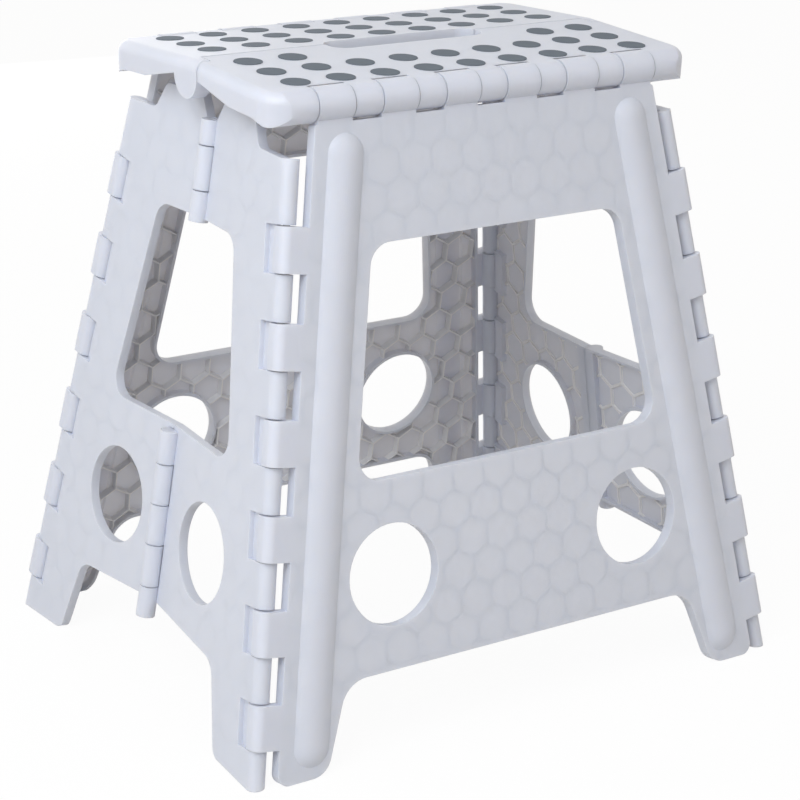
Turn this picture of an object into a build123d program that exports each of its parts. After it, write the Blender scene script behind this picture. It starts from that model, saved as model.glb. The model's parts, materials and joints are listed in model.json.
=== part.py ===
from build123d import *
import math
import os

# A folding step stool in eight moulded panels.
# The front panel, the rear panel and the two folding sides all lean towards two points
# high above the stool. Every upright hinge aims at one of these points, which is what
# lets the four walls fold flat. The top is hinged along the front and the rear wall and
# breaks upwards along its middle.
# X runs along the stool, the front faces towards -Y, and the floor is Z = 0.

# The whole stool
foot_half_length = 221
foot_half_width = 175
apex_height = 1050
apex_half_length = 53
edge_height = 443.3
overrun = 40

# Walls of the mouldings
skin = 2.4
rib_wall = 2.4

# Front and rear panels
front_out = 10
front_depth = 9
front_edge_inset = 11.5
front_foot_length = 51
front_foot_corner = 8
front_foot_inner_corner = 16
front_arch_in = 72
front_arch_height = 60
front_arch_corner = 22
front_rail = 93.3
front_window_top = edge_height - front_rail
front_window_bottom = 192
front_post = 61.2
front_window_corner = 17
hole_radius = 36
hole_height = 126
front_hole_in = 95.8

# The bulged rib along each upright edge of the front and rear panels
bulge_half_width = 11.5
bulge_height = 3.6
bulge_inset = 25
bulge_top_drop = 32.3
bulge_top = edge_height - bulge_top_drop
bulge_bottom = 22

# Side panels
side_out = 6.5
side_depth = 7
side_slope = 4
side_top_drop = 13.3
side_top = edge_height - side_top_drop
side_notch_depth = 19
side_notch_floor = side_top - side_notch_depth
side_notch_top_in = 41.3
side_notch_floor_in = 33.5
side_notch_corner = 7
side_rail = 83
side_window_top = side_top - side_rail
side_window_bottom = 198
side_window_top_post = 63.2
side_window_bottom_post = 54
side_window_corner = 15
side_hole_share = 0.422
side_arch_middle = 67
side_arch_height = 61
side_arch_in = 63.8
side_arch_corner = 16
side_foot_length = 54
side_foot_corner = 10
seam_gap = 0.3

# Corner hinges
rod_radius = 2.5
running_fit = 0.05
knuckle_radius = 6.5
knuckle_step = 1
knuckle_top = side_notch_floor - knuckle_step
rod_foot = 8
rod_cover = 6
rod_top = knuckle_top - rod_cover
lug_count = 6
lug_length = 30
lug_first = 41.2
lug_top_room = 57.8
lug_pitch = (knuckle_top - lug_top_room - lug_first) / (lug_count - 1)
lug_gap = 0.9
lug_radius = 7.6
lug_corner = 6.5
lug_clear = 0.7
pocket_length = 8.2
pocket_depth = 3.6

# Hinge down the middle of each side
middle_radius = 7
middle_gap = 0.4
middle_clear = 0.6
middle_pin_radius = 2.2
middle_pin_short = 3
middle_dip_half = 16
upper_knuckle_drop = 14.2
upper_knuckle_below = 2.8
lower_knuckle_drop = 3
lower_knuckle_below = 11.2
upper_end_shares = (0, 0.31, 0.746, 1)
lower_end_shares = (0, 0.168, 0.393, 0.608, 0.8225, 1)
open_play = 0.35

# Top, seen along the stool from the edge hinge to the middle seam
edge_out = 4
edge_across = foot_half_width * (1 - edge_height / apex_height) + edge_out
crown = 4.5
top_half_length = 175
top_thick = 11.5
nose_radius = 11.5
nose_clear = 1.1
top_corner = 22
top_edge_round = 8
top_seam = 0.8
seam_rise = 2.5
skirt_drop = 8
skirt_flat_start = 14
skirt_flat_end = 45
nose_wall = 16

# Bands of the front and rear panels round the edge hinges
band_radius = 12
band_width = 27
band_pairs = 3
band_side_clear = 0.9
band_clear = 1
edge_rod_short = 8

# Hinge at the middle of the top
ear_radius = 16
ear_thick = 12
top_play = 1.6
lobe_radius = 8
lobe_width = 12.4
lobe_gap = 0.8
top_pin_radius = 2.5
top_pin_cover = 4

# Carrying slot
slot_half_length = 64
slot_half_width = 13
slot_corner = 12
slot_forward = 3

# Grip dots
dot_radius = 10
dot_fit = 0.1
dot_thick = 1.3
dot_proud = 0.4
dot_pitch = 35
dot_columns = 9
dot_row_in = 18.2
dot_row_rear = 25
dot_row_front = 24.4
dot_edge_columns = 2

front = Vector(0, -1, 0)
corner_foot = Vector(-foot_half_length, -foot_half_width, 0)
middle_foot = Vector(-foot_half_length, 0, 0)
apex = Vector(-apex_half_length, 0, apex_height)


def direction(foot):
    """The unit direction of the hinge line that runs from this foot to the apex."""
    return (apex - foot).normalized()


def at_height(foot, height):
    """The point of a hinge line at a height above the floor."""
    line = direction(foot)
    return foot + line * (height / line.Z)


# Directions square to the panels, pointing outwards
front_normal = Vector(0, -apex_height, foot_half_width).normalized()
side_normal = Vector(-apex_height, 0, foot_half_length - apex_half_length).normalized()
corner_line = direction(corner_foot)
middle_line = direction(middle_foot)
plate_normal = side_normal.rotate(Axis((0, 0, 0), tuple(corner_line)), -side_slope)

# Sketch planes: the front panel's outer face, and the outer face of a side half
front_plane = Plane(origin=(0, -foot_half_width, 0), x_dir=(1, 0, 0), z_dir=front_normal)
front_face = front_plane.offset(front_out)
plate_plane = Plane(origin=corner_foot, x_dir=corner_line.cross(plate_normal), z_dir=plate_normal)
side_face = plate_plane.offset(side_out)


def on_front(across, height):
    """Sketch point of the front face at a place along X and a height."""
    start = Vector(across, 0, height)
    reach = (front_face.origin - start).dot(front_face.z_dir) / front.dot(front_face.z_dir)
    spot = front_face.to_local_coords(start + front * reach)
    return (spot.X, spot.Y)


def on_side(across, height):
    """Sketch point of the side face at a distance from the side's middle and a height."""
    start = Vector(0, -across, height)
    left = Vector(-1, 0, 0)
    reach = (side_face.origin - start).dot(side_face.z_dir) / left.dot(side_face.z_dir)
    spot = side_face.to_local_coords(start + left * reach)
    return (spot.X, spot.Y)


def corner_across(height):
    """Distance of the corner hinge line from the middle of the front, at a height."""
    return abs(at_height(corner_foot, height).X)


def side_width(height):
    """Distance of the corner hinge line from the middle of the side, at a height."""
    return abs(at_height(corner_foot, height).Y)


def knuckle_ends(low, high, end_shares):
    """Heights at which one knuckle of a middle hinge ends and the next begins."""
    return [low + (high - low) * end_share for end_share in end_shares]


upper_knuckle_ends = knuckle_ends(
    side_window_top - upper_knuckle_below, side_top - upper_knuckle_drop, upper_end_shares
)
lower_knuckle_ends = knuckle_ends(
    side_arch_middle - lower_knuckle_below, side_window_bottom - lower_knuckle_drop, lower_end_shares
)


def outline(corners):
    """A face from (point, corner radius) pairs."""
    points = [point for point, radius in corners]
    radii = [radius for point, radius in corners]
    return make_face(FilletPolyline(*points, radius=radii, close=True))


def disc(point, radius):
    return Pos(*point) * Circle(radius)


def pan(face_plane, sketch, depth):
    """A moulded panel: a skin with a wall round its edge and round each opening."""
    plate = extrude(face_plane * sketch, amount=-depth)
    hollow = offset(sketch, amount=-rib_wall, kind=Kind.INTERSECTION)
    return plate - extrude(face_plane.offset(-skin) * hollow, amount=-depth)


def rod(foot, low, high, radius):
    """A round bar on a hinge line between two heights."""
    start = at_height(foot, low)
    end = at_height(foot, high)
    section = Plane(origin=start, z_dir=direction(foot)) * Circle(radius)
    return extrude(section, amount=(end - start).length)


def above_floor(solid):
    return split(solid, bisect_by=Plane.XY, keep=Keep.TOP)


def one(shape):
    """The single solid of a finished piece."""
    solids = shape.solids()
    if len(solids) != 1:
        raise ValueError(f"expected one solid, got {len(solids)}")
    return solids[0]


def lug_span(index):
    """Lowest and highest height of a corner lug."""
    middle = lug_first + lug_pitch * index
    return middle - lug_length / 2, middle + lug_length / 2


# Front panel

def panel_edge(height):
    """Distance of the front panel's upright edge from its middle, at a height."""
    inset = front_edge_inset / abs(corner_line.cross(front_normal).normalized().X)
    return corner_across(height) - inset


def front_sketch():
    """The front panel seen square on, with its window, its two holes and its arch."""
    top_point = front_plane.to_local_coords(Vector(0, -edge_across, edge_height))
    top_line = top_point.Y - nose_radius - nose_clear
    sole = on_front(0, 0)[1]
    arch = on_front(foot_half_length - front_arch_in, front_arch_height)
    half = [
        ((panel_edge(edge_height - nose_radius), top_line), front_depth / 4),
        ((panel_edge(0), sole), front_foot_corner),
        ((foot_half_length - front_foot_length, sole), front_foot_inner_corner),
        (arch, front_arch_corner),
    ]
    mirrored = [((-point[0], point[1]), radius) for point, radius in reversed(half)]
    body = outline(half + mirrored)
    window_half = [
        (on_front(corner_across(height) - front_post, height), front_window_corner)
        for height in (front_window_top, front_window_bottom)
    ]
    window_other = [((-point[0], point[1]), radius) for point, radius in reversed(window_half)]
    body -= outline(window_half + window_other)
    for side in (-1, 1):
        across = corner_across(hole_height) - front_hole_in
        body -= disc(on_front(side * across, hole_height), hole_radius)
    return body


def bulge():
    """One long half-round bulge, left of the middle, rounded at both ends."""
    sphere = (bulge_half_width**2 + bulge_height**2) / (2 * bulge_height)
    axis_plane = front_face.offset(bulge_height - sphere)
    ends = []
    for height in (bulge_bottom, bulge_top):
        across = corner_across(height) - front_edge_inset - bulge_inset
        ends.append(axis_plane.from_local_coords(Vector(-across, on_front(0, height)[1], 0)))
    run = ends[1] - ends[0]
    bar = extrude(Plane(origin=ends[0], z_dir=run) * Circle(sphere), amount=run.length)
    rib = bar + [Pos(*end) * Sphere(sphere) for end in ends]
    return split(rib, bisect_by=front_face.offset(-skin / 2), keep=Keep.TOP)


def lug(index):
    """One lug of the left front corner: a barrel round the rod with a squared front."""
    low, high = lug_span(index)
    start = at_height(corner_foot, low)
    end = at_height(corner_foot, high)
    section_plane = Plane(origin=start, x_dir=front_normal.cross(corner_line), z_dir=corner_line)
    inner = -front_edge_inset - rib_wall / 2
    block = outline([
        ((lug_radius, front_out), lug_corner),
        ((lug_radius, 0), 0),
        ((0, 0), 0),
        ((0, front_out - front_depth), 0),
        ((inner, front_out - front_depth), 0),
        ((inner, front_out), 0),
    ])
    return extrude(section_plane * (block + Circle(lug_radius)), amount=(end - start).length)


def band_places():
    """Middles of the bands along X."""
    last = panel_edge(edge_height) - band_width / 2
    pitch = last / (band_pairs - 1 / 2)
    places = [pitch * (step + 1 / 2) for step in range(band_pairs)]
    return [-place for place in reversed(places)] + places


def band(across):
    """One band of the front panel, rolled round the edge hinge."""
    hinge = front_plane.to_local_coords(Vector(0, -edge_across, edge_height))
    section_plane = Plane(
        origin=(across - band_width / 2, -edge_across, edge_height),
        x_dir=front_normal,
        z_dir=(1, 0, 0),
    )
    out = front_out - hinge.Z
    reach = nose_radius + nose_clear + rib_wall / 2
    strip = make_face(Polyline(
        (out, 0), (out - front_depth, 0), (out - front_depth, reach), (out, reach), close=True
    ))
    return extrude(section_plane * (Circle(band_radius) + strip), amount=band_width)


def edge_rod(short):
    start = Vector(-top_half_length + short, -edge_across, edge_height)
    section = Plane(origin=start, z_dir=(1, 0, 0)) * Circle(rod_radius)
    return extrude(section, amount=2 * (top_half_length - short))


def edge_bore():
    start = Vector(-top_half_length + edge_rod_short - running_fit, -edge_across, edge_height)
    section = Plane(origin=start, z_dir=(1, 0, 0)) * Circle(rod_radius + running_fit)
    return extrude(section, amount=2 * abs(start.X))


def front_panel():
    panel = pan(front_face, front_sketch(), front_depth)
    rib = bulge()
    lugs = [lug(index) for index in range(lug_count)]
    bore = rod(corner_foot, rod_foot - running_fit, rod_top + running_fit, rod_radius + running_fit)
    for piece in [rib] + lugs:
        panel = panel + piece + mirror(piece, about=Plane.YZ)
    for across in band_places():
        panel += band(across)
    panel -= bore
    panel -= mirror(bore, about=Plane.YZ)
    panel -= edge_bore()
    return one(above_floor(panel))


# Left side panels

def side_sketch():
    """Half of the left side seen square on, from the corner rod to the middle."""
    knuckle_end = knuckle_top / corner_line.Z
    past = -overrun
    dip = upper_knuckle_ends[-1]
    body = outline([
        (on_side(past, dip), 0),
        (on_side(middle_radius, dip), 0),
        (on_side(middle_dip_half, side_top), 0),
        (on_side(side_width(side_top) - side_notch_top_in, side_top), side_notch_corner),
        (on_side(side_width(side_notch_floor) - side_notch_floor_in, side_notch_floor), side_notch_corner),
        ((0, knuckle_end), 0),
        (on_side(foot_half_width, 0), 0),
        (on_side(foot_half_width - side_foot_length, 0), side_foot_corner),
        (on_side(side_width(side_arch_height) - side_arch_in, side_arch_height), side_arch_corner),
        (on_side(0, side_arch_middle), 0),
        (on_side(past, side_arch_middle), 0),
    ])
    body -= window_sketch(side_window_corner)
    body -= disc(on_side(side_width(hole_height) * side_hole_share, hole_height), hole_radius)
    for index in range(lug_count):
        body -= lug_room(index, -overrun, lug_radius + lug_clear)
    return body


def window_sketch(corner_radius):
    """Half of the side's window, drawn past the middle."""
    return outline([
        (on_side(-2 * overrun, side_window_top), 0),
        (on_side(side_width(side_window_top) - side_window_top_post, side_window_top), corner_radius),
        (on_side(side_width(side_window_bottom) - side_window_bottom_post, side_window_bottom), corner_radius),
        (on_side(-2 * overrun, side_window_bottom), 0),
    ])


def lug_room(index, start, end, wall=0):
    """A field of a side half beside a lug, between two distances from the corner rod."""
    low, high = [height / corner_line.Z for height in lug_span(index)]
    low -= lug_gap + wall
    high += lug_gap + wall
    return make_face(Polyline((-start, low), (-end, low), (-end, high), (-start, high), close=True))


def pocket(index, start):
    """The solid pad behind a lug's room, and the recess that is sunk into it."""
    end = start + pocket_length
    pad = extrude(side_face * lug_room(index, start, end + rib_wall, rib_wall), amount=-side_depth)
    recess = extrude(side_face * lug_room(index, start, end), amount=-pocket_depth)
    return pad, recess


def corner_knuckles():
    """The round barrels of a side half between the lugs of its corner."""
    ends = [-side_out]
    for index in range(lug_count):
        low, high = lug_span(index)
        ends += [low - lug_gap, high + lug_gap]
    ends.append(knuckle_top)
    return [rod(corner_foot, low, high, knuckle_radius) for low, high in zip(ends[::2], ends[1::2])]


def middle_spans(own):
    """Height spans of the middle knuckles: the front half's own ones, or the other half's."""
    spans = []
    for ends in (upper_knuckle_ends, lower_knuckle_ends):
        pairs = list(zip(ends[:-1], ends[1:]))
        spans += pairs[0::2] if own else pairs[1::2]
    return spans


def side_half(own, play):
    """The front half of the left side. own says which of the middle knuckles it carries."""
    plate = pan(side_face, side_sketch(), side_depth)
    seam = Plane(origin=(0, -seam_gap / 2, 0), z_dir=(0, -1, 0))
    plate = split(plate, bisect_by=seam, keep=Keep.TOP)
    seam_rib = extrude(side_face * seam_wall_sketch(), amount=-side_depth)
    plate += split(seam_rib, bisect_by=seam, keep=Keep.TOP)
    for index in range(lug_count):
        pad, recess = pocket(index, lug_radius + lug_clear)
        plate = plate + pad - recess
    for low, high in middle_spans(not own):
        plate -= rod(middle_foot, low - middle_gap, high + middle_gap, middle_radius + middle_clear)
    for low, high in middle_spans(own):
        plate += rod(middle_foot, low + middle_gap, high - middle_gap, middle_radius)
    for knuckle in corner_knuckles():
        plate += knuckle
    plate -= rod(corner_foot, rod_foot - running_fit, rod_top + running_fit, rod_radius + running_fit)
    for ends in (upper_knuckle_ends, lower_knuckle_ends):
        low, high = ends[0] + middle_pin_short, ends[-1] - middle_pin_short
        plate -= rod(middle_foot, low - running_fit, high + running_fit, middle_pin_radius + play)
    return one(above_floor(plate))


def seam_wall_sketch():
    """The wall down the middle seam, where the window and the arch leave the plate whole."""
    wall_in = middle_radius + rib_wall
    dip = upper_knuckle_ends[-1]
    wall = outline([
        (on_side(-overrun, dip), 0),
        (on_side(wall_in, dip), 0),
        (on_side(wall_in, side_arch_middle), 0),
        (on_side(-overrun, side_arch_middle), 0),
    ])
    return wall - window_sketch(0)


# Top

half_width = math.hypot(edge_across, crown)
top_plane = Plane(
    origin=(0, -edge_across, edge_height),
    x_dir=(1, 0, 0),
    z_dir=(0, -crown, edge_across),
)
along_plane = Plane(origin=(0, 0, 0), x_dir=(0, 1, 0), z_dir=(1, 0, 0))


def along(sketch, start, end):
    """A section across the top half, drawn from hinge to seam, stretched along X."""
    return extrude(Pos(start, 0, 0) * (along_plane * sketch), amount=end - start)


def hinge_bar(radius, start, end, across=0):
    return along(Pos(across, 0) * Circle(radius), start, end)


def slot_sketch(shift):
    return Pos(0, half_width + shift) * RectangleRounded(
        2 * slot_half_length, 2 * slot_half_width, slot_corner
    )


def top_plan():
    """The top half from above, with its two outer corners rounded."""
    return outline([
        ((-top_half_length, -nose_radius), top_corner),
        ((top_half_length, -nose_radius), top_corner),
        ((top_half_length, half_width - top_seam / 2), 0),
        ((-top_half_length, half_width - top_seam / 2), 0),
    ])


def top_section():
    """The top half from the end: a round nose, a flat top and a hanging skirt."""
    skirt = make_face(Polyline(
        (0, top_thick), (half_width, top_thick), (half_width, seam_rise),
        (skirt_flat_end, -skirt_drop), (skirt_flat_start, -skirt_drop), (0, -nose_radius),
        close=True,
    ))
    return Circle(nose_radius) + skirt


def lobe_spans(own):
    """Spans along X of the seam lobes at the right end, from the outer end inwards."""
    ends = [top_half_length - ear_thick - lobe_gap]
    for step in range(3):
        ends.append(ends[-1] - lobe_width)
        ends.append(ends[-1] - lobe_gap)
    spans = [(ends[2 * step + 1], ends[2 * step]) for step in range(3)]
    return spans[0::2] if own else spans[1::2]


def dot_places(seam_row, seam_columns):
    """Places of the grip dots in a top half: two full rows, and a row beside the seam."""
    seam_place = half_width - seam_row
    middle_place = (dot_row_in + seam_place) / 2
    last = (dot_columns - 1) / 2
    places = []
    for place, kept in ((dot_row_in, dot_columns), (middle_place, dot_columns), (seam_place, seam_columns)):
        for step in range(dot_columns):
            if min(step, dot_columns - 1 - step) < kept:
                places.append((dot_pitch * (step - last), place))
    return places


def front_dot_places():
    return dot_places(dot_row_front, dot_edge_columns)


def rear_dot_places():
    return dot_places(dot_row_rear, dot_columns)


def dots(places, radius, low, high):
    base = Plane.XY.offset(low)
    sketch = Sketch() + [Pos(*place) * Circle(radius) for place in places]
    return extrude(base * sketch, amount=high - low)


def top_half(has_ear, slot_shift, dot_spots):
    """One half of the top in the front half's place, before it is tilted up to the seam."""
    plan = top_plan()
    depth = 2 * nose_radius
    block = extrude(Plane.XY.offset(top_thick - depth) * plan, amount=depth)
    rim = [edge for edge in block.edges().group_by(Axis.Z)[-1]
           if edge.center().Y < half_width - top_seam]
    half = fillet(rim, top_edge_round)
    half = half & along(top_section(), -top_half_length, top_half_length)
    slot = slot_sketch(slot_shift)
    half -= extrude(Plane.XY.offset(-depth) * slot, amount=2 * depth)
    # The hollow underneath stops short of the nose, the seam, the slot and the hinge blocks
    inner_x = top_half_length - rib_wall - skin
    hollow = outline([
        ((-inner_x, nose_wall), top_corner / 4),
        ((inner_x, nose_wall), top_corner / 4),
        ((inner_x, half_width - top_seam / 2 - rib_wall), 0),
        ((-inner_x, half_width - top_seam / 2 - rib_wall), 0),
    ])
    block_start = lobe_spans(has_ear)[-1][0] - rib_wall
    for side in (-1, 1):
        corner = (side * (block_start + inner_x) / 2, half_width)
        hollow -= Pos(*corner) * Rectangle(
            inner_x - block_start + 2 * rib_wall, 2 * (ear_radius + top_play + rib_wall)
        )
    hollow -= offset(slot, amount=rib_wall)
    ceiling = top_thick - skin
    half -= extrude(Plane.XY.offset(ceiling) * hollow, amount=-2 * depth)
    for across in band_places():
        start = across - band_width / 2 - band_side_clear
        end = across + band_width / 2 + band_side_clear
        half -= hinge_bar(band_radius + band_clear, start, end)
        half -= along(Pos(-nose_radius, 0) * Rectangle(2 * nose_radius, 2 * depth), start, end)
    reach = top_half_length - edge_rod_short + running_fit
    half -= hinge_bar(rod_radius + running_fit, -reach, reach)
    for side in (-1, 1):
        half = cut_for_lobes(half, has_ear, side)
        half = add_lobes(half, has_ear, side)
    pin_end = top_half_length - top_pin_cover
    pin_start = lobe_start()
    bore = top_pin_radius + (running_fit if not has_ear else top_play + top_pin_radius / 4)
    for side in (-1, 1):
        ends = sorted((side * (pin_start - running_fit), side * (pin_end + running_fit)))
        half -= hinge_bar(bore, ends[0], ends[1], half_width)
    half -= dots(dot_spots, dot_radius + dot_fit, top_thick + dot_proud - dot_thick, depth)
    return half


def lobe_start():
    """Where the seam pin of the right end begins, inside the innermost lobe."""
    spans = lobe_spans(True) + lobe_spans(False)
    return min(start for start, end in spans) + top_pin_cover


def span_on(side, start, end):
    return sorted((side * start, side * end))


def cut_for_lobes(half, has_ear, side):
    """Room in this half for the other half's lobes and ear."""
    room = lobe_radius + top_play
    for start, end in lobe_spans(has_ear):
        low, high = span_on(side, start - lobe_gap, end + lobe_gap)
        half -= hinge_bar(room, low, high, half_width)
    if not has_ear:
        low, high = span_on(side, top_half_length - ear_thick - lobe_gap, top_half_length + overrun)
        half -= hinge_bar(ear_radius + top_play, low, high, half_width)
    return half


def add_lobes(half, has_ear, side):
    """This half's own lobes round the seam pin, and the ear at the end."""
    for start, end in lobe_spans(not has_ear):
        low, high = span_on(side, start, end)
        shoulder = Pos(half_width - lobe_radius, (top_thick - skin) / 2) * Rectangle(
            2 * lobe_radius, top_thick - skin
        )
        lobe = Pos(half_width, 0) * Circle(lobe_radius)
        half += along(lobe + shoulder, low, high)
    if has_ear:
        low, high = span_on(side, top_half_length - ear_thick, top_half_length)
        ear = hinge_bar(ear_radius, low, high, half_width)
        half += ear & roof_under()
    return half


def roof_under():
    """The space under the crowned top surface, rounded down at its ends."""
    tilt = 2 * math.degrees(math.atan2(crown, edge_across))
    end_shape = outline([
        ((-top_half_length, -overrun), 0),
        ((top_half_length, -overrun), 0),
        ((top_half_length, top_thick), top_edge_round),
        ((-top_half_length, top_thick), top_edge_round),
    ])
    standing = Plane(origin=(0, half_width - overrun, 0), x_dir=(1, 0, 0), z_dir=(0, 1, 0))
    flipped = Plane(origin=standing.origin, x_dir=(-1, 0, 0), z_dir=(0, 1, 0))
    own = extrude(flipped * end_shape, amount=2 * overrun)
    turned = Pos(0, half_width, 0) * Rot(-tilt, 0, 0) * Pos(0, -half_width, 0) * own
    return own & turned


def placed_front(solid):
    return one(top_plane * solid)


def placed_dots(places):
    low = top_thick + dot_proud - dot_thick
    return top_plane * dots(places, dot_radius, low, top_thick + dot_proud)


def seam_pin(side):
    start = lobe_start()
    end = top_half_length - top_pin_cover
    low, high = span_on(side, start, end)
    return one(top_plane * hinge_bar(top_pin_radius, low, high, half_width))


def to_rear(solid):
    """The same piece on the other side of the middle, front to rear."""
    return mirror(solid, about=Plane.XZ)


def to_right(solid):
    """The same piece on the other side of the middle, left to right."""
    return mirror(solid, about=Plane.YZ)


def build():
    pieces = {}
    front_legs = front_panel()
    pieces["front_legs"] = front_legs
    pieces["rear_legs"] = to_rear(front_legs)

    left_front = side_half(True, running_fit)
    left_rear = to_rear(side_half(False, running_fit))
    pieces["left_side_front"] = left_front
    pieces["left_side_rear"] = left_rear
    pieces["right_side_front"] = to_right(left_front)
    right_rear = to_rear(side_half(False, open_play))
    pieces["right_side_rear"] = to_right(right_rear)

    pieces["top_front"] = placed_front(top_half(False, -slot_forward, front_dot_places()))
    pieces["top_rear"] = to_rear(placed_front(top_half(True, slot_forward, rear_dot_places())))

    rod_bar = edge_rod(edge_rod_short)
    pieces["top_front_rod"] = rod_bar
    pieces["top_rear_rod"] = to_rear(rod_bar)

    corner_rod = rod(corner_foot, rod_foot, rod_top, rod_radius)
    pieces["corner_rod_front_left"] = corner_rod
    pieces["corner_rod_front_right"] = to_right(corner_rod)
    pieces["corner_rod_rear_left"] = to_rear(corner_rod)
    pieces["corner_rod_rear_right"] = corner_rod.rotate(Axis.Z, 180)

    for name, ends in (("upper", upper_knuckle_ends), ("lower", lower_knuckle_ends)):
        pin = rod(middle_foot, ends[0] + middle_pin_short, ends[-1] - middle_pin_short, middle_pin_radius)
        pieces[f"side_pin_{name}_left"] = pin
        pieces[f"side_pin_{name}_right"] = to_right(pin)

    pieces["top_pin_left"] = seam_pin(-1)
    pieces["top_pin_right"] = seam_pin(1)
    pieces["grip_dots_front"] = placed_dots(front_dot_places())
    pieces["grip_dots_rear"] = to_rear(placed_dots(rear_dot_places()))
    return pieces


os.makedirs("parts", exist_ok=True)
for name, solid in build().items():
    export_step(solid, f"parts/{name}.step")
    print(name, len(solid.solids()), round(solid.volume))
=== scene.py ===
# %% [markdown]
# # A folding step stool, dressed for its portrait
# The construction comes packed and fixed: eight moulded panels, their rods and pins, and the
# soft grip dots. This lesson adds what the eye sees: the honeycomb of ribs behind each panel,
# the soft moulded edges, the plastic and the rubber, and a plain studio.
# %% Load the fixed frame
import json
import math

import bmesh
import bpy
from mathutils import Matrix, Vector


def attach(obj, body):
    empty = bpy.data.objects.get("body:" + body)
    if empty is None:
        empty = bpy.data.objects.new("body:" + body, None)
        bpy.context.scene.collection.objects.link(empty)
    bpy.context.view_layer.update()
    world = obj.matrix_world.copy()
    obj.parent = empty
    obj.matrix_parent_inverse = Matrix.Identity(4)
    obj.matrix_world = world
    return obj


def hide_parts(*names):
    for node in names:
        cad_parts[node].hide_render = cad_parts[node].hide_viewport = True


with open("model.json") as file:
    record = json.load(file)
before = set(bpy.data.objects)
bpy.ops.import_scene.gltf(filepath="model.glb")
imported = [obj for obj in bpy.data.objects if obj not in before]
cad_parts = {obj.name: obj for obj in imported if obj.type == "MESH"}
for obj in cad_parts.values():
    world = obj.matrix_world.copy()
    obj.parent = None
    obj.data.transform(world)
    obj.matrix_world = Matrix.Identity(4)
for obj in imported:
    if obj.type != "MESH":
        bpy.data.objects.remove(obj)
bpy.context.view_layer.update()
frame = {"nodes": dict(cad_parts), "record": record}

MM = 0.001
print("pieces in the frame:", len(frame["nodes"]))

# %% [markdown]
# ## Colour and node helpers
# Colours are written as the hex values that a screen shows, and one function turns them to the
# linear light that a renderer adds up. One more function adds any shader node with its settings
# and its links, so that each material below reads as a short recipe.
# %% Two small helpers


def linear(hex_colour):
    """A hex screen colour as linear red, green, blue and alpha."""
    parts = [int(hex_colour[i:i + 2], 16) / 255 for i in (1, 3, 5)]
    light = [c / 12.92 if c <= 0.04045 else ((c + 0.055) / 1.055) ** 2.4 for c in parts]
    return (*light, 1.0)


def add_node(tree, kind, settings=None, **links):
    """One shader node with its settings. A link names an input, or gives its number as in _0."""
    node = tree.nodes.new(kind)
    for name, value in (settings or {}).items():
        setattr(node, name, value)
    for name, value in links.items():
        key = int(name[1:]) if name[1:].isdigit() else name.replace("_", " ")
        socket = node.inputs[key]
        if isinstance(value, bpy.types.NodeSocket):
            tree.links.new(value, socket)
        else:
            socket.default_value = value
    return node


def new_material(name, viewport_hex):
    """A node material with nothing in it yet, and its node tree."""
    material = bpy.data.materials.new(name)
    material.use_nodes = True
    material.diffuse_color = linear(viewport_hex)
    material.node_tree.nodes.clear()
    return material, material.node_tree


print("middle grey on a screen is", round(linear("#808080")[0], 3), "of full light")

# %% [markdown]
# ## The plastic: injection-moulded polypropylene
# Polypropylene comes out of a polished steel mould with a soft, slightly waxy gloss. Up close it
# has three things a flat colour lacks: a fine spark-eroded grain, long faint waves where the
# plastic froze, and sink marks, the shallow hollows that the ribs behind draw into the skin. The
# grain is real at about 0.6 mm but would vanish at this distance, so it is drawn near 1.5 mm.
# The sink marks have to lie exactly over the ribs, so both come from one honeycomb, worked out
# by formula: two rectangular grids half a step apart, and whichever centre is nearer wins. A
# painted bump picture would need a UV map and would never quite fit the ribs.
# %% The honeycomb pattern as shader nodes

CELL = 25.5 * MM          # across the flats of one honeycomb cell
RIB = 1.5 * MM            # thickness of a rib


def maths(tree, operation, a, b=0.0):
    """The result of one maths node."""
    return add_node(tree, "ShaderNodeMath", {"operation": operation}, _0=a, _1=b).outputs[0]


def vector_maths(tree, operation, a, b=(0, 0, 0)):
    """One vector maths node, which has a vector and a number to give."""
    return add_node(tree, "ShaderNodeVectorMath", {"operation": operation}, _0=a, _1=b)


def honeycomb_edge(tree, flat):
    """How near a point of the plane is to a cell wall: 0.5 on the wall, 0 at the cell's centre."""
    step = (CELL, CELL * math.sqrt(3), 1.0)
    half = tuple(s / 2 for s in step)
    near = []
    for shift in ((0, 0, 0), half):
        moved = vector_maths(tree, "SUBTRACT", flat, shift).outputs[0]
        turn = vector_maths(tree, "WRAP", moved, step)
        turn.inputs[2].default_value = (0, 0, 0)
        near.append(vector_maths(tree, "SUBTRACT", turn.outputs[0], half).outputs[0])
    edges = []
    for spot in near:
        size = vector_maths(tree, "ABSOLUTE", spot).outputs[0]
        slanted = vector_maths(tree, "DOT_PRODUCT", size, (0.5, math.sqrt(0.75), 0)).outputs["Value"]
        across = vector_maths(tree, "DOT_PRODUCT", size, (1, 0, 0)).outputs["Value"]
        edges.append(maths(tree, "MAXIMUM", slanted, across))
    return maths(tree, "DIVIDE", maths(tree, "MINIMUM", *edges), CELL)


print("honeycomb cell", round(CELL / MM, 1), "mm across, ribs", round(RIB / MM, 1), "mm thick")

# %% [markdown]
# Each panel stands at its own lean, so its honeycomb is drawn in the panel's own plane. The
# recipe takes two directions of that plane and measures along them with dot products, which
# needs no UV map and stays put when the panel folds.
#
# A skin this thin lets some light through. Subsurface scattering with a long reach shows that,
# a little more for red than for blue, as pale plastic does. The ribs are many and lie deep
# inside, so they go without it.
# %% The plastic's recipe

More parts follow.
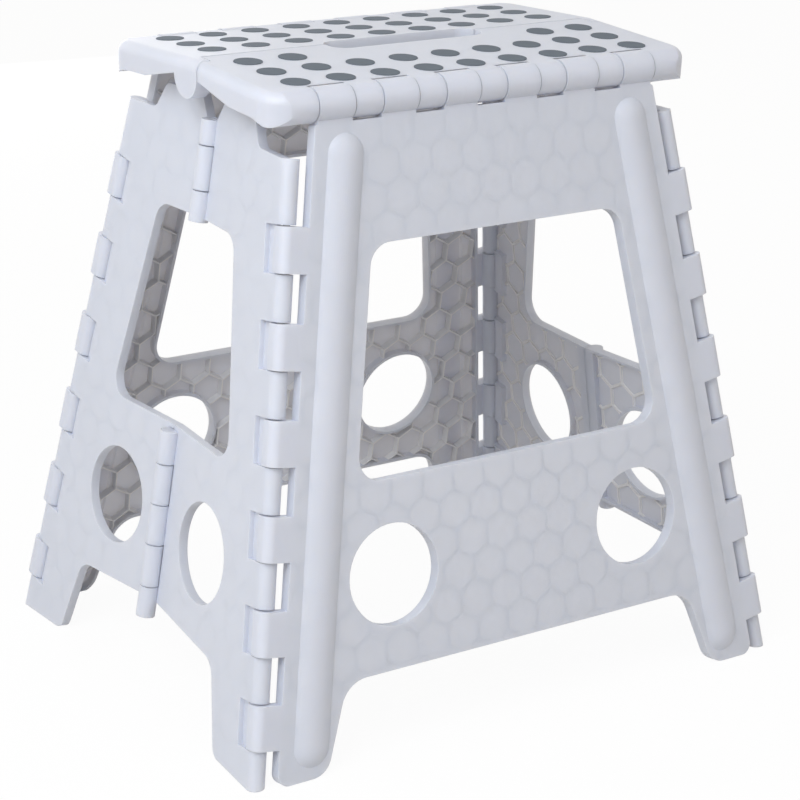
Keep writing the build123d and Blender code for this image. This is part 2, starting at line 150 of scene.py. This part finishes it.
GRAIN_SIZE = 1.5 * MM
GRAIN_DEPTH = 0.03 * MM
WAVE_LENGTH = 60 * MM
WAVE_DEPTH = 0.25 * MM
SINK_DEPTH = 0.07 * MM
LIGHT_REACH = 15 * MM
MARK_START_SHARE = 0.40         # where a sink mark starts, 0.5 being the middle of the rib
WAVE_TINT_SHARE = 0.96          # the waves darken the colour by 4 % at most


def polypropylene(name, along, up, hex_colour, scatter):
    """Moulded polypropylene whose sink marks lie in the plane of along and up."""
    material, tree = new_material(name, hex_colour)
    place = add_node(tree, "ShaderNodeTexCoord").outputs["Object"]
    u = vector_maths(tree, "DOT_PRODUCT", place, tuple(along)).outputs["Value"]
    v = vector_maths(tree, "DOT_PRODUCT", place, tuple(up)).outputs["Value"]
    flat = add_node(tree, "ShaderNodeCombineXYZ", X=u, Y=v).outputs[0]
    edge = honeycomb_edge(tree, flat)
    mark = add_node(
        tree, "ShaderNodeMapRange", {"interpolation_type": "SMOOTHSTEP"},
        Value=edge, From_Min=MARK_START_SHARE, From_Max=0.5, To_Min=0.0, To_Max=1.0,
    ).outputs[0]
    grain = add_node(
        tree, "ShaderNodeTexNoise", Vector=place, Scale=1 / GRAIN_SIZE, Detail=3.0, Roughness=0.6
    ).outputs[0]
    waves = add_node(
        tree, "ShaderNodeTexNoise", Vector=place, Scale=1 / WAVE_LENGTH, Detail=2.0, Roughness=0.5
    ).outputs[0]
    bump = add_node(tree, "ShaderNodeBump", Height=waves, Distance=WAVE_DEPTH, Strength=0.5)
    bump = add_node(
        tree, "ShaderNodeBump", {"invert": True},
        Height=mark, Distance=SINK_DEPTH, Strength=0.5, Normal=bump.outputs[0],
    )
    bump = add_node(
        tree, "ShaderNodeBump",
        Height=grain, Distance=GRAIN_DEPTH, Strength=0.4, Normal=bump.outputs[0],
    )
    tint = add_node(
        tree, "ShaderNodeMix", {"data_type": "RGBA"}, Factor=waves, _6=linear(hex_colour),
        _7=(*(c * WAVE_TINT_SHARE for c in linear(hex_colour)[:3]), 1.0),
    ).outputs[2]
    rough = add_node(
        tree, "ShaderNodeMapRange",
        Value=grain, From_Min=0.3, From_Max=0.7, To_Min=0.36, To_Max=0.48,
    )
    surface = add_node(
        tree, "ShaderNodeBsdfPrincipled", Base_Color=tint, Roughness=rough.outputs[0],
        IOR=1.49, Normal=bump.outputs[0],
        Subsurface_Weight=scatter, Subsurface_Radius=(1.0, 0.85, 0.7), Subsurface_Scale=LIGHT_REACH,
    )
    add_node(tree, "ShaderNodeOutputMaterial", Surface=surface.outputs[0])
    return material


print("sink marks up to", round(SINK_DEPTH / MM, 2), "mm deep, grain", round(GRAIN_SIZE / MM, 1), "mm")

# %% [markdown]
# ## The grip dots: thermoplastic rubber
# The dots are a soft rubber, moulded matt so that a shoe sole holds on it. Rubber is dark and
# dull, with a coarse leathery grain, and it picks up a little pale dust. Rounded cells make the
# grain, and a slow noise between two greys makes the dust. A plain dark grey would look printed.
# The real grain is finer than half a millimetre and is drawn at 1.1 mm so that it shows.
# %% The rubber's recipe

PEBBLE_SIZE = 1.1 * MM
PEBBLE_DEPTH = 0.12 * MM
DUST_SIZE = 9 * MM


def grip_rubber():
    """Dark matt rubber with a pebbled grain."""
    material, tree = new_material("thermoplastic_rubber", "#59636d")
    place = add_node(tree, "ShaderNodeTexCoord").outputs["Object"]
    cells = add_node(tree, "ShaderNodeTexVoronoi", Vector=place, Scale=1 / PEBBLE_SIZE)
    pebble = cells.outputs["Distance"]
    dust = add_node(tree, "ShaderNodeTexNoise", Vector=place, Scale=1 / DUST_SIZE, Detail=4.0).outputs[0]
    tint = add_node(
        tree, "ShaderNodeMix", {"data_type": "RGBA"}, Factor=dust,
        _6=linear("#525c66"), _7=linear("#5f6973"),
    ).outputs[2]
    bump = add_node(tree, "ShaderNodeBump", Height=pebble, Distance=PEBBLE_DEPTH, Strength=0.7)
    surface = add_node(
        tree, "ShaderNodeBsdfPrincipled",
        Base_Color=tint, Roughness=0.72, IOR=1.52, Normal=bump.outputs[0],
    )
    add_node(tree, "ShaderNodeOutputMaterial", Surface=surface.outputs[0])
    return material


rubber = grip_rubber()
print(rubber.name, "nodes", len(rubber.node_tree.nodes))

# %% [markdown]
# ## The rods and pins: drawn steel wire
# The wire is drawn through a die, which leaves fine scratches along its length. Little of it
# shows, only in the slits between the knuckles, but a metal there catches light as metal does.
# A noise stretched along the wire's length makes the scratches in both gloss and bump. Real
# scratches are finer than a hair and are drawn 0.4 mm wide so that they show.
# %% The wire's recipe

WIRE_COLOUR = "#a9aaac"
SCRATCH_WIDTH = 0.4 * MM
SCRATCH_LENGTH = 12 * MM
SCRATCH_DEPTH = 0.02 * MM


def drawn_wire():
    """Bright steel wire with fine scratches along it."""
    material, tree = new_material("drawn_steel_wire", WIRE_COLOUR)
    place = add_node(tree, "ShaderNodeTexCoord").outputs["Object"]
    pattern_scale = (1 / SCRATCH_WIDTH, 1 / SCRATCH_WIDTH, 1 / SCRATCH_LENGTH)
    stretched = add_node(tree, "ShaderNodeMapping", Vector=place, Scale=pattern_scale)
    scratches = add_node(
        tree, "ShaderNodeTexNoise", Vector=stretched.outputs[0], Scale=1.0, Detail=2.0
    ).outputs[0]
    rough = add_node(tree, "ShaderNodeMapRange", Value=scratches, To_Min=0.25, To_Max=0.45)
    bump = add_node(tree, "ShaderNodeBump", Height=scratches, Distance=SCRATCH_DEPTH, Strength=0.5)
    surface = add_node(
        tree, "ShaderNodeBsdfPrincipled", Base_Color=linear(WIRE_COLOUR), Metallic=1.0,
        Roughness=rough.outputs[0], Normal=bump.outputs[0],
    )
    add_node(tree, "ShaderNodeOutputMaterial", Surface=surface.outputs[0])
    return material


wire = drawn_wire()
print(wire.name, "nodes", len(wire.node_tree.nodes))

# %% [markdown]
# ## The planes of the panels
# All upright hinges aim at two points high above the stool. That gives each panel's lean: the
# front and rear panels tilt by their foot's distance over the apex height, and so do the sides.
# The halves of the top rise a little to their seam. These directions could be measured on the
# meshes, but working them out from the same few sizes as the stool keeps them exact.
# %% Directions of each panel

APEX_HEIGHT = 1050 * MM
FOOT_HALF_LENGTH = 221 * MM
FOOT_HALF_WIDTH = 175 * MM
APEX_HALF_LENGTH = 53 * MM
CROWN_RISE = 4.5 * MM
HALF_TOP_DEPTH = 105.1 * MM     # from the seam of the top to the hinge line at its edge
CROWN_TILT = math.atan2(CROWN_RISE, HALF_TOP_DEPTH)
PLATE_TURN = math.radians(4)    # the side plates are turned this much about the corner hinges

corner_line = Vector((FOOT_HALF_LENGTH - APEX_HALF_LENGTH, FOOT_HALF_WIDTH, APEX_HEIGHT)).normalized()
front_out = Vector((0, -APEX_HEIGHT, FOOT_HALF_WIDTH)).normalized()
side_out = Vector((-APEX_HEIGHT, 0, FOOT_HALF_LENGTH - APEX_HALF_LENGTH)).normalized()
side_out = Matrix.Rotation(-PLATE_TURN, 3, corner_line) @ side_out
top_out = Vector((0, -math.sin(CROWN_TILT), math.cos(CROWN_TILT)))

to_rear = Matrix.Diagonal((1, -1, 1))
to_right = Matrix.Diagonal((-1, 1, 1))

outward = {
    "front_legs": front_out,
    "rear_legs": to_rear @ front_out,
    "left_side_front": side_out,
    "left_side_rear": to_rear @ side_out,
    "right_side_front": to_right @ side_out,
    "right_side_rear": to_right @ to_rear @ side_out,
    "top_front": top_out,
    "top_rear": to_rear @ top_out,
}


def plane_of(node):
    """The along and up directions of a panel's plane."""
    out = outward[node]
    if node.startswith("top"):
        along = Vector((1, 0, 0))
    else:
        along = Vector((0, 0, 1)).cross(out).normalized()
    return along, out.cross(along)


bodies = frame["record"]["behaviour"]["bodies"]
body_of_node = {node: body for body, nodes in bodies.items() for node in nodes}
for node, out in outward.items():
    print(node, "rides on", body_of_node[node], "and leans", round(math.degrees(math.asin(out.z)), 1))

# %% [markdown]
# ## Moulded edges
# No mould makes a knife edge: every corner of a moulding is rounded by half a millimetre or so,
# and that thin line of light is what tells the eye "plastic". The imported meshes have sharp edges
# and are never changed, so each panel is copied, its flat faces are merged back into single
# faces, and a bevel rounds the edges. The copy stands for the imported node. A rounded-edge shader
# would be quicker, but it is lost in an export, and these edges show in the outline.
# %% Round the edges of a copy of a panel

EDGE_RADIUS = 0.8 * MM
EDGE_SEGMENTS = 2
BEVEL_ANGLE = math.radians(28)      # sharper edges than this are rounded
SHARP_ANGLE = math.radians(30)      # sharper edges than this keep a crease in the shading
FLAT_ANGLE = math.radians(0.5)      # faces that differ by less are merged
WELD = 0.001 * MM                   # points nearer than this are one point


def forget_normals(mesh):
    """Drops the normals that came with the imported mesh, which no longer fit after an edit."""
    stored = mesh.attributes.get("custom_normal")
    if stored:
        mesh.attributes.remove(stored)
    mesh.shade_smooth()
    mesh.set_sharp_from_angle(angle=SHARP_ANGLE)


def settled(piece):
    """The piece with its modifiers applied."""
    bpy.context.view_layer.update()
    graph = bpy.context.evaluated_depsgraph_get()
    finished = bpy.data.meshes.new_from_object(piece.evaluated_get(graph))
    piece.modifiers.clear()
    piece.data = finished
    return piece


def combine(piece, tool, operation):
    """A Boolean modifier that joins a tool to a piece or cuts it out."""
    step = piece.modifiers.new(operation.lower(), "BOOLEAN")
    step.operation = operation
    step.object = tool
    step.solver = "EXACT"


def rounded_copy(node, added, removed):
    """A copy of a panel with soft edges. Large faces rule the shading, so flat stays flat."""
    source = frame["nodes"][node]
    mesh = source.data.copy()
    mesh.materials.clear()
    piece = bpy.data.objects.new("moulded_" + node, mesh)
    bpy.context.scene.collection.objects.link(piece)
    work = bmesh.new()
    work.from_mesh(mesh)
    bmesh.ops.remove_doubles(work, verts=work.verts, dist=WELD)
    bmesh.ops.dissolve_limit(
        work, angle_limit=FLAT_ANGLE, verts=work.verts, edges=work.edges, delimit=set()
    )
    work.to_mesh(mesh)
    work.free()
    forget_normals(mesh)
    for tool in removed:
        combine(piece, tool, "DIFFERENCE")
    for tool in added:
        combine(piece, tool, "UNION")
    bevel = piece.modifiers.new("moulded edge", "BEVEL")
    bevel.width = EDGE_RADIUS
    bevel.segments = EDGE_SEGMENTS
    bevel.limit_method = "ANGLE"
    bevel.angle_limit = BEVEL_ANGLE
    bevel.use_clamp_overlap = True
    weights = piece.modifiers.new("flat stays flat", "WEIGHTED_NORMAL")
    weights.keep_sharp = True
    settled(piece)
    for tool in (*added, *removed):
        bpy.data.objects.remove(tool)
    return piece


def new_piece(name, work):
    """An object made from a finished bmesh."""
    bmesh.ops.recalc_face_normals(work, faces=work.faces)
    mesh = bpy.data.meshes.new(name)
    work.to_mesh(mesh)
    work.free()
    piece = bpy.data.objects.new(name, mesh)
    bpy.context.scene.collection.objects.link(piece)
    return piece


print("moulded edges are rounded to", round(EDGE_RADIUS / MM, 1), "mm")

# %% [markdown]
# ## The long bulges
# Two long bulges stiffen the legs. A moulding keeps one wall thickness, because thick plastic
# shrinks and sinks, so each bulge is hollow from behind. A bulge is a low dome over a long slot
# shape, and its hollow is the same dome, one wall thickness smaller. Both come from one function:
# the dome is added to the outer face and the smaller one is cut from the inner face. Pushing the
# skin outwards would give the same shape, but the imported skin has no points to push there.
# %% A long low dome

SKIN = 2.4 * MM
EDGE_INSET = 11.5 * MM     # from the corner hinge to the panel's upright edge
BULGE_INSET = 25.2 * MM    # from that edge to the middle of the bulge
BULGE_ENDS = (22 * MM, 411 * MM)
BULGE_HALF_WIDTH = 13.9 * MM
BULGE_HEIGHT = 4.6 * MM
BULGE_RADIUS = (BULGE_HALF_WIDTH**2 + BULGE_HEIGHT**2) / (2 * BULGE_HEIGHT)
GROOVE_RADIUS = BULGE_RADIUS - SKIN
GROOVE_HALF_WIDTH = math.sqrt(GROOVE_RADIUS**2 - (GROOVE_RADIUS - BULGE_HEIGHT)**2)


def bulge_end(node, side, height, level):
    """A point of a bulge's middle line on the plane at a level along outward."""
    out = outward[node]
    corner = FOOT_HALF_LENGTH + (APEX_HALF_LENGTH - FOOT_HALF_LENGTH) * height / APEX_HEIGHT
    return Vector((side * (corner - EDGE_INSET - BULGE_INSET), (level - out.z * height) / out.y, height))


def long_dome(node, side, radius, half_width, level, base, rings=8, arc=16):
    """A low dome over a slot shape, closed by a flat base that lies a little under its level."""
    low, high = [bulge_end(node, side, height, level) for height in BULGE_ENDS]
    out = outward[node]
    run = (high - low).normalized()
    across = run.cross(out)
    rows = [(half_width, -base)]
    for step in range(rings + 1):
        reach = half_width * (1 - step / rings)
        rows.append((reach, math.sqrt(radius**2 - reach**2) - (radius - BULGE_HEIGHT)))
    work = bmesh.new()
    loops = []
    for reach, rise in rows:
        loop = []
        for end, turn in ((high, 0), (low, math.pi)):
            for k in range(arc + 1):
                angle = turn + math.pi * k / arc
                spot = end + across * (reach * math.cos(angle)) + run * (reach * math.sin(angle))
                loop.append(work.verts.new(spot + out * rise))
        loops.append(loop)
    count = len(loops[0])
    for outer, inner in zip(loops[:-1], loops[1:]):
        for k in range(count):
            n = (k + 1) % count
            work.faces.new((outer[k], outer[n], inner[n], inner[k]))
    work.faces.new(loops[0])
    bmesh.ops.remove_doubles(work, verts=work.verts, dist=WELD)
    return new_piece("dome_" + node, work)


def groove_depth(node, spot, level):
    """How deep the hollow of a bulge is behind a point of the skin's inside, at its level."""
    if not node.endswith("legs"):
        return 0.0
    along, up = plane_of(node)
    deepest = 0.0
    for side in (-1, 1):
        ends = [bulge_end(node, side, height, level) for height in BULGE_ENDS]
        low, high = [Vector((end.dot(along), end.dot(up))) for end in ends]
        share = max(0.0, min(1.0, (spot - low).dot(high - low) / (high - low).length_squared))
        reach = (spot - low.lerp(high, share)).length
        if reach < GROOVE_HALF_WIDTH:
            depth = math.sqrt(GROOVE_RADIUS**2 - reach**2) - (GROOVE_RADIUS - BULGE_HEIGHT)
            deepest = max(deepest, depth)
    return deepest


print("bulge hollow, half its width:", round(GROOVE_HALF_WIDTH / MM, 1), "mm")

# %% [markdown]
# ## The honeycomb of ribs
# Behind its thin skin each panel has a honeycomb of ribs, which makes it stiff with little
# plastic. The ribs could be drawn as a bump, but they cast real shadows and show their height
# from below, so they are built: a slab of honeycomb larger than the panel is cut to the shape of
# the panel's hollow. The hollow's shape is read from the panel itself, as the largest flat face
# that looks inwards, and it is grown a little so that the ribs run into the walls.
# %% Find the hollow behind a panel's skin

EMBED = 0.4 * MM                    # how far the ribs run into the walls
SLAB_MARGIN = 2 * CELL              # how much larger the slab is than a hollow, on every side
FACES_INWARD = -0.9999              # a face's normal times outward is less than this
MITRE_LIMIT = 0.5                   # keeps a sharp corner of an outline from shooting out
LEVEL_STEP = 0.05 * MM
KEY_STEP = 0.01 * MM                # points nearer than this share a key
SAME_PLANE_ANGLE = math.radians(1)


def inner_skin(node):
    """The triangles of the inside of the skin, as lists of points, and their distance along outward."""
    mesh = frame["nodes"][node].data
    out = outward[node]
    levels = {}
    for face in mesh.polygons:
        if face.normal.dot(out) < FACES_INWARD:
            level = round(face.center.dot(out) / LEVEL_STEP)
            levels.setdefault(level, []).append(face)
    best = max(levels, key=lambda level: sum(face.area for face in levels[level]))
    faces = levels[best]
    points = [[mesh.vertices[i].co.copy() for i in face.vertices] for face in faces]
    return points, best * LEVEL_STEP, sum(face.area for face in faces)


def grow_outline(work, distance):
    """Moves the outline of a flat region outwards in its own plane."""
    moves = {}
    for edge in work.edges:
        if len(edge.link_faces) == 1:
            loop = edge.link_loops[0]
            line = loop.link_loop_next.vert.co - loop.vert.co
            away = line.cross(loop.face.normal).normalized()
            for vert in edge.verts:
                moves.setdefault(vert, []).append(away)
    for vert, aways in moves.items():
        middle = sum(aways, Vector()).normalized()
        vert.co += middle * distance / max(MITRE_LIMIT, middle.dot(aways[0]))


def hollow_prism(node, height):
    """A closed solid that fills a panel's hollow and reaches past the ribs both ways."""
    triangles, level, area = inner_skin(node)
    out = outward[node]
    work = bmesh.new()
    for triangle in triangles:
        work.faces.new([work.verts.new(point) for point in triangle])
    bmesh.ops.remove_doubles(work, verts=work.verts, dist=KEY_STEP)
    bmesh.ops.dissolve_limit(
        work, angle_limit=SAME_PLANE_ANGLE, verts=work.verts, edges=work.edges, delimit=set()
    )
    work.normal_update()
    grow_outline(work, EMBED)
    past = BULGE_HEIGHT + 2 * EMBED
    bmesh.ops.translate(work, verts=work.verts, vec=out * past)
    lifted = bmesh.ops.extrude_face_region(work, geom=list(work.faces), use_keep_orig=True)
    moved = [item for item in lifted["geom"] if isinstance(item, bmesh.types.BMVert)]
    bmesh.ops.translate(work, verts=moved, vec=-out * (past + height + EMBED))
    return new_piece("hollow_" + node, work), level, area


print("the front panel's skin has", len(inner_skin("front_legs")[0]), "triangles on its inside")

# %% [markdown]
# The slab repeats one cell. Neighbouring cells share the points of their rim, so the ribs between
# them are one connected solid with no doubled faces. A rib is thin at its top and spreads into a
# soft foot at the skin, as every rib does where the mould was rounded so that plastic flows. Where
# a cell lies over the hollow of a bulge, its sides are cut into shorter pieces so that the ribs
# can follow the curve.
# %% Build a slab of honeycomb

# Half a rib's thickness as shares of the thin part, and the height as shares of the rib's own
RIB_SHARES = ((1.9, 0.0), (1.4, 0.12), (1.1, 0.35), (1.0, 0.9), (0.6, 1.0))
CURVED_PIECES = 3


def hexagon(centre, half_across):
    """Six corners round a centre, points up and down."""
    radius = half_across / math.cos(math.radians(30))
    return [
        Vector((centre[0] + radius * math.cos(a), centre[1] + radius * math.sin(a)))
        for a in (math.radians(30 + 60 * k) for k in range(6))
    ]


def ring_spots(centre, half_across, pieces):
    """Points round a hexagon, with each side cut into its number of pieces."""
    corners = hexagon(centre, half_across)
    spots = []
    for k, count in enumerate(pieces):
        spots += [corners[k].lerp(corners[(k + 1) % 6], step / count) for step in range(count)]
    return spots


def honeycomb_slab(node, level, height, low, high):
    """A honeycomb of ribs over a rectangle of the panel's plane."""
    along, up = plane_of(node)
    out = outward[node]
    row = CELL * math.sqrt(3) / 2
    work = bmesh.new()
    shared = {}
    side_pieces = {}

    def point(spot, share, past=0.0):
        groove = groove_depth(node, spot, level)
        depth = level + groove + past - share * (height + groove)
        return work.verts.new(along * spot.x + up * spot.y + out * depth)

    def rim_point(spot, ring, share, past=0.0):
        key = (round(spot.x / KEY_STEP), round(spot.y / KEY_STEP), ring)
        if key not in shared:
            shared[key] = point(spot, share, past)
        return shared[key]

    cells = []
    for j in range(math.floor(low[1] / row), math.ceil(high[1] / row) + 1):
        # The shader's honeycomb has its cell centres on this same lattice
        shift = CELL / 2 if j % 2 == 0 else 0.0
        for i in range(math.floor(low[0] / CELL) - 1, math.ceil(high[0] / CELL) + 1):
            cells.append((i * CELL + shift, (j + 1) * row))
    for centre in cells:
        corners = hexagon(centre, CELL / 2)
        pieces = []
        for k in range(6):
            middle = corners[k].lerp(corners[(k + 1) % 6], 0.5)
            key = (round(middle.x / KEY_STEP), round(middle.y / KEY_STEP))
            if key not in side_pieces:
                spots = (corners[k], middle, corners[(k + 1) % 6])
                curved = max(groove_depth(node, spot, level) for spot in spots) > 0
                side_pieces[key] = CURVED_PIECES if curved else 1
            pieces.append(side_pieces[key])
        rim = ring_spots(centre, CELL / 2, pieces)
        loops = [[rim_point(spot, "skin", 0.0, EMBED) for spot in rim]]
        foot = CELL / 2 - RIB_SHARES[0][0] * RIB / 2
        loops.append([point(spot, 0.0, EMBED) for spot in ring_spots(centre, foot, pieces)])
        for thick_share, height_share in RIB_SHARES:
            spots = ring_spots(centre, CELL / 2 - thick_share * RIB / 2, pieces)
            loops.append([point(spot, height_share) for spot in spots])
        loops.append([rim_point(spot, "free", 1.0) for spot in rim])
        for first, second in zip(loops[:-1], loops[1:]):
            for k in range(len(rim)):
                n = (k + 1) % len(rim)
                work.faces.new((first[k], first[n], second[n], second[k]))
    # Close the slab round its outside
    for edge in [e for e in work.edges if len(e.link_faces) == 1 and e.verts[0].co.dot(out) > level]:
        ends = []
        for vert in edge.verts:
            spot = Vector((vert.co.dot(along), vert.co.dot(up)))
            ends.append(rim_point(spot, "free", 1.0))
        work.faces.new((edge.verts[0], edge.verts[1], ends[1], ends[0]))
    return new_piece("honeycomb_" + node, work)


print("a rib is", round(RIB_SHARES[0][0] * RIB / MM, 2), "mm thick at its foot")

# %% [markdown]
# The slab and the hollow overlap, and what both hold are the ribs of this panel. The ribs stay a
# piece of their own beside the skin, because they have their own finish, and because joining them
# to the rounded skin of the side panels left many open edges.
# %% Cut the slab to the panel's hollow


def ribs_for(node, height):
    """The ribs of one panel, as one piece, and the level of the skin's inside."""
    hollow, level, area = hollow_prism(node, height)
    along, up = plane_of(node)
    spots = [(v.co.dot(along), v.co.dot(up)) for v in hollow.data.vertices]
    low = [min(spot[axis] for spot in spots) - SLAB_MARGIN for axis in (0, 1)]
    high = [max(spot[axis] for spot in spots) + SLAB_MARGIN for axis in (0, 1)]
    slab = honeycomb_slab(node, level, height, low, high)
    combine(slab, hollow, "INTERSECT")
    settled(slab)
    forget_normals(slab.data)
    slab.name = "ribs_" + node
    bpy.data.objects.remove(hollow)
    print(slab.name, "hollow", round(area / MM**2), "mm2, faces", len(slab.data.polygons))
    return slab, level


print("the slab is larger than a hollow by", round(SLAB_MARGIN / MM), "mm on every side")

# %% [markdown]
# ## Dress every panel
# All eight panels come from one batch of very pale bluish grey plastic. The ribs are painted a little
# lighter and warmer than the skin, a painted glow that stands in for light that has passed through the
# skin into their cells. They end a little lower than the walls round them, so the flat sides have much
# lower ribs than the legs and the top. One loop dresses all panels, so that none can be forgotten.
# %% Panels, ribs and their plastic

PLASTIC_COLOUR = "#d8dce8"
# Lighter and warmer than the plastic: painted glow in place of light that passes through the skin into
# the ribs' cells
RIB_COLOUR_WITH_PAINTED_GLOW = "#f0efef"
SKIN_SCATTER = 0.4
RIB_SCATTER = 0.0
LEG_RIB_HEIGHT = 5.0 * MM
TOP_RIB_HEIGHT = 6.0 * MM
SIDE_RIB_HEIGHT = 1.5 * MM


def rib_height(node):
    """The height of a panel's ribs over the inside of its skin."""
    if node.endswith("legs"):
        return LEG_RIB_HEIGHT
    return TOP_RIB_HEIGHT if node.startswith("top") else SIDE_RIB_HEIGHT


def open_edges(mesh):
    """How many edges don't have exactly two faces. A closed piece has none."""
    work = bmesh.new()
    work.from_mesh(mesh)
    count = sum(not edge.is_manifold for edge in work.edges)
    work.free()
    return count


for node in outward:
    along, up = plane_of(node)
    plastic = polypropylene("polypropylene_" + node, along, up, PLASTIC_COLOUR, SKIN_SCATTER)
    # The ribs' lighter, warmer colour is painted glow in place of light that passes through the skin
    rib_plastic_with_painted_glow = polypropylene("polypropylene_ribs_painted_glow_" + node, along, up, RIB_COLOUR_WITH_PAINTED_GLOW, RIB_SCATTER)
    ribs, level = ribs_for(node, rib_height(node))
    domes, grooves = [], []
    if node.endswith("legs"):
        for side in (-1, 1):
            domes.append(long_dome(node, side, BULGE_RADIUS, BULGE_HALF_WIDTH, level + SKIN, SKIN / 2))
            grooves.append(long_dome(node, side, GROOVE_RADIUS, GROOVE_HALF_WIDTH, level, EMBED))
    shell = rounded_copy(node, domes, grooves)
    for piece, finish in ((shell, plastic), (ribs, rib_plastic_with_painted_glow)):
        print(piece.name, "faces", len(piece.data.polygons), "open edges", open_edges(piece.data))
        piece.data.materials.clear()
        piece.data.materials.append(finish)
        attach(piece, body_of_node[node])
    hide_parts(node)

# %% [markdown]
# ## Dress the dots, rods and pins
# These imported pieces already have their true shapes, round and plain, so they stay as they are
# and only take their finish. Copies would add nothing.
# %% Rubber on the dots, wire on the rods and pins

for name, node in frame["nodes"].items():
    finish = None
    if name.startswith("grip_dots"):
        finish = rubber
    elif "rod" in name or "pin" in name:
        finish = wire
    if finish:
        node.data.materials.clear()
        node.data.materials.append(finish)
        print(name, "is", finish.name)

# %% [markdown]
# ## The studio
# The stool is shown on a plain white ground. The floor is a real surface, so the object keeps
# its contact shadow. What the camera sees of the floor and the world is white by its colour,
# not by flooding the object with light: a ray from the camera meets white paper that also glows
# a little, while a ray that lights the stool meets pale grey paper.
# %% Floor and world


def background_ray(tree):
    """1 for a ray that shows the background to the eye, directly, mirrored or through glass."""
    path = add_node(tree, "ShaderNodeLightPath").outputs
    mirrored = maths(tree, "MAXIMUM", path["Is Glossy Ray"], path["Is Transmission Ray"])
    return maths(tree, "MAXIMUM", path["Is Camera Ray"], mirrored)


PAPER_GLOW = 0.95         # share of the floor's brightness that its own shadow can't darken
FLOOR_HALF_SIZE = 6.0     # metres
WORLD_STRENGTH = 0.5


def studio_floor():
    """White paper to the eye, pale grey paper to the rays that light the stool."""
    mesh = bpy.data.meshes.new("floor")
    signs = ((-1, -1), (1, -1), (1, 1), (-1, 1))
    corners = [(x * FLOOR_HALF_SIZE, y * FLOOR_HALF_SIZE, 0) for x, y in signs]
    mesh.from_pydata(corners, [], [(0, 1, 2, 3)])
    floor = bpy.data.objects.new("floor", mesh)
    bpy.context.scene.collection.objects.link(floor)
    material, tree = new_material("white_paper", "#ffffff")
    seen = background_ray(tree)
    tint = add_node(
        tree, "ShaderNodeMix", {"data_type": "RGBA"},
        Factor=seen, _6=linear("#dcdad7"), _7=linear("#fbfbfb"),
    ).outputs[2]
    paper = add_node(tree, "ShaderNodeBsdfDiffuse", Color=tint)
    glow = add_node(tree, "ShaderNodeEmission", Color=(1, 1, 1, 1), Strength=1.0)
    share = maths(tree, "MULTIPLY", seen, PAPER_GLOW)
    both = add_node(tree, "ShaderNodeMixShader", _0=share, _1=paper.outputs[0], _2=glow.outputs[0])
    add_node(tree, "ShaderNodeOutputMaterial", Surface=both.outputs[0])
    mesh.materials.append(material)


def studio_world(strength):
    """White behind the stool, and a soft warm light from all round at the given strength."""
    world = bpy.data.worlds.new("studio")
    bpy.context.scene.world = world
    world.use_nodes = True
    tree = world.node_tree
    tree.nodes.clear()
    seen = background_ray(tree)
    lit = add_node(tree, "ShaderNodeBackground", Color=linear("#fffaf3"), Strength=strength)
    white = add_node(tree, "ShaderNodeBackground", Color=(1, 1, 1, 1), Strength=1.0)
    both = add_node(tree, "ShaderNodeMixShader", _0=seen, _1=lit.outputs[0], _2=white.outputs[0])
    add_node(tree, "ShaderNodeOutputWorld", Surface=both.outputs[0])


studio_floor()
studio_world(WORLD_STRENGTH)
print("light from all round", WORLD_STRENGTH, "and floor", 2 * FLOOR_HALF_SIZE, "m wide")

# %% [markdown]
# ## The lamps
# In the photograph the left side is brightest and the front a step darker, and no shadow has a
# hard edge. One large lamp high on the left does that. A weak one in front lifts the edge of the
# top, and one low behind sends a little light through the thin panels. A single sun would be
# simpler but would draw hard shadows.
# %% Three soft lamps


def soft_lamp(name, place, aim, size, power, hex_colour):
    """A square lamp that points at the aim. The size is in metres and the power in watts."""
    lamp = bpy.data.lights.new(name, "AREA")
    lamp.color = linear(hex_colour)[:3]
    lamp.shape = "SQUARE"
    lamp.size = size
    lamp.energy = power
    lamp_object = bpy.data.objects.new(name, lamp)
    bpy.context.scene.collection.objects.link(lamp_object)
    lamp_object.location = place
    lamp_object.rotation_euler = (Vector(aim) - Vector(place)).to_track_quat("-Z", "Y").to_euler()
    print(name, "lamp", power, "W,", size, "m wide")


middle = Vector((0, 0, 0.25))
soft_lamp("key", (-1.55, -0.8, 1.65), middle, 1.3, 32, "#f6faff")
soft_lamp("front", (0.5, -1.9, 1.5), middle, 1.2, 3.5, "#fbfbff")
soft_lamp("back", (0.3, 2.2, 0.45), middle, 1.4, 12, "#ffffff")

# %% [markdown]
# ## The camera
# The photograph was taken with a long lens from the left front, a little above the top. These
# values were fitted to the stool's own corners, hinge lines and holes. A camera set by eye would
# come near, but the edges would not fall on those of the photograph.
# %% The camera

camera_data = bpy.data.cameras.new("portrait")
camera_data.sensor_width = 36
camera_data.lens = 104.96
camera_data.shift_x = 0.03325
camera_data.shift_y = -0.0067
camera = bpy.data.objects.new("portrait", camera_data)
bpy.context.scene.collection.objects.link(camera)
look = Vector((0.51411, 0.79284, -0.32724))
roll = math.radians(0.988)
camera.location = (-0.91574, -1.38396, 0.76273)
level_turn = look.to_track_quat("-Z", "Y").to_matrix()
camera.rotation_euler = (level_turn @ Matrix.Rotation(roll, 3, "Z")).to_euler()
bpy.context.scene.camera = camera
bpy.context.scene.view_settings.view_transform = "Standard"
print("camera", round(camera.location.length, 2), "m from the middle of the floor")
